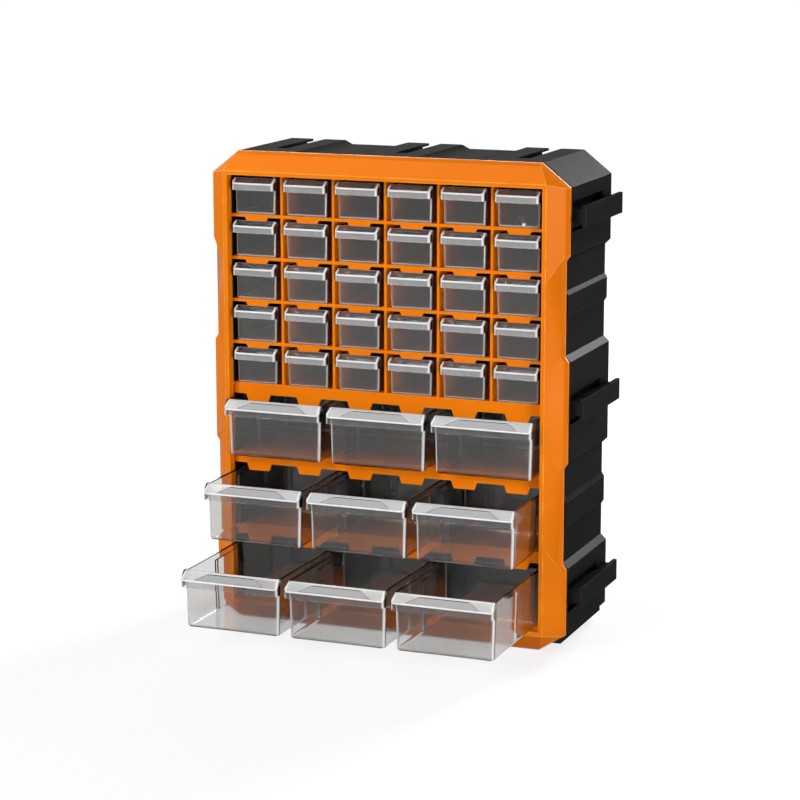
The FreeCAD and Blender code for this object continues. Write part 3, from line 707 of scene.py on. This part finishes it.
def make_floor_white():
    """To the eye white far out, and a little less near the object, where it takes a soft shadow."""
    material, shader = new_material("floor_white")
    shader.inputs["Base Color"].default_value = (0.4, 0.4, 0.4, 1)
    shader.inputs["Roughness"].default_value = 0.9
    shader.inputs["Specular IOR Level"].default_value = 0.1
    seen = seen_ray(material.node_tree)
    glow = add_node(material, "ShaderNodeEmission")
    place = add_node(material, "ShaderNodeTexCoord")
    far = add_node(material, "ShaderNodeVectorMath", operation="LENGTH")
    join(material, place.outputs["Object"], far.inputs[0])
    fade = remap(material, far.outputs["Value"], 0.4, 1.6, 0.8, 1.0, "SMOOTHSTEP")
    join(material, fade, glow.inputs["Strength"])
    both = add_node(material, "ShaderNodeAddShader")
    dim = add_node(material, "ShaderNodeBsdfDiffuse", color=(0.22, 0.22, 0.22, 1))
    mix = add_node(material, "ShaderNodeMixShader")
    join(material, glow.outputs["Emission"], both.inputs[0])
    join(material, dim.outputs["BSDF"], both.inputs[1])
    join(material, seen, mix.inputs["Fac"])
    join(material, shader.outputs["BSDF"], mix.inputs[1])
    join(material, both.outputs["Shader"], mix.inputs[2])
    join(material, mix.outputs["Shader"], output_of(material).inputs["Surface"])
    return material


def seen_ray(tree):
    """1 for rays that show a surface to the eye: straight, mirrored or through glass."""
    path = tree.nodes.new("ShaderNodeLightPath")
    total = path.outputs["Is Camera Ray"]
    for name in ("Is Glossy Ray", "Is Transmission Ray"):
        either = tree.nodes.new("ShaderNodeMath")
        either.operation = "MAXIMUM"
        tree.links.new(total, either.inputs[0])
        tree.links.new(path.outputs[name], either.inputs[1])
        total = either.outputs["Value"]
    return total


def light_world():
    """White to the eye, and a soft even light for everything else."""
    world = bpy.data.worlds.new("studio")
    scene.world = world
    world.use_nodes = True
    tree = world.node_tree
    soft = tree.nodes["Background"]
    soft.inputs["Color"].default_value = (1, 1, 1, 1)
    soft.inputs["Strength"].default_value = 0.06
    white = tree.nodes.new("ShaderNodeBackground")
    white.inputs["Color"].default_value = (1, 1, 1, 1)
    white.inputs["Strength"].default_value = 1.0
    mix = tree.nodes.new("ShaderNodeMixShader")
    tree.links.new(seen_ray(tree), mix.inputs["Fac"])
    tree.links.new(soft.outputs["Background"], mix.inputs[1])
    tree.links.new(white.outputs["Background"], mix.inputs[2])
    tree.links.new(mix.outputs["Shader"], tree.nodes["World Output"].inputs["Surface"])


def add_softbox(name, place, target, width, height, watts):
    """Rectangular lamp that faces a target."""
    lamp = bpy.data.lights.new(name, "AREA")
    lamp.shape = "RECTANGLE"
    lamp.size = width
    lamp.size_y = height
    lamp.energy = watts
    stand = bpy.data.objects.new(name, lamp)
    stand.location = place
    stand.rotation_euler = (Vector(target) - Vector(place)).to_track_quat("-Z", "Y").to_euler()
    scene.collection.objects.link(stand)


def place_camera():
    """Camera that was fitted to the photograph's own corners, shifted by a few of its pixels."""
    picture_width = 800
    lens = bpy.data.cameras.new("camera")
    lens.lens = 117.2
    lens.sensor_width = 36
    lens.shift_x = 3 / picture_width
    lens.shift_y = 1 / picture_width
    lens.clip_end = 30
    camera = bpy.data.objects.new("camera", lens)
    camera.location = (0.9564, -2.4298, 0.7637)
    camera.rotation_euler = (math.radians(90 - 11.54), math.radians(0.06), math.radians(21.73))
    scene.collection.objects.link(camera)
    scene.camera = camera


make_floor()
light_world()
add_softbox("key", (-1.0, -2.1, 1.3), (0, 0, 0.24), 0.9, 0.9, 34)
add_softbox("overhead", (-0.5, -0.55, 1.75), (0, -0.1, 0.2), 0.9, 0.6, 7.5)
add_softbox("right", (1.4, -0.95, 0.3), (0.15, -0.05, 0.28), 0.45, 0.5, 13)
add_softbox("behind", (0.6, 1.95, 1.1), (0.15, 0, 0.35), 0.6, 0.8, 66)
add_softbox("behind_left", (-0.75, 1.9, 0.9), (0, 0, 0.45), 0.7, 0.35, 9)
place_camera()

scene.view_settings.view_transform = "Standard"
